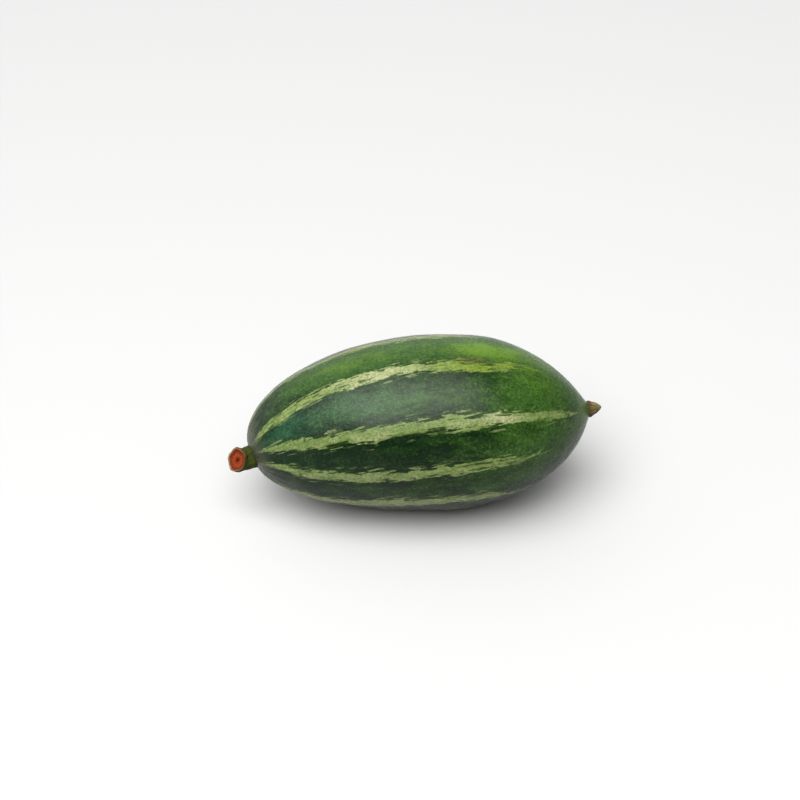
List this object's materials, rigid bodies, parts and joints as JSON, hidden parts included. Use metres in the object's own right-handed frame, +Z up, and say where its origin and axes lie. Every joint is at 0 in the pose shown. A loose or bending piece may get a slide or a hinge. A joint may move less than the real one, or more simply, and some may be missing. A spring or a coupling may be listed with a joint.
{
  "type": "pointed gourd",
  "caption": "Whole striped green gourd, blunt at the stem and drawn to a point at the flower end, lying on its side, with a cut stem stub and a dried flower tip.",
  "frame": {"origin": "middle of the small flat spot that the gourd rests on", "axes": "+X along the gourd, from its stem end to its flower end; +Z up from the surface it lies on; -Y is the side that faces the picture's camera"},
  "size_m": [0.0802, 0.038, 0.0373],
  "materials": {
    "striped_skin": "waxy green fruit skin with jagged pale yellow-green stripes, semi-matte",
    "cut_stem": "olive green stalk, reddish-orange where it is cut, matte",
    "dried_flower": "dry brown wrinkled plant tissue, matte"
  },
  "bodies": {
    "root": {"fruit": "striped_skin", "stem_stub": "cut_stem", "blossom_tip": "dried_flower"}
  },
  "joints": []
}
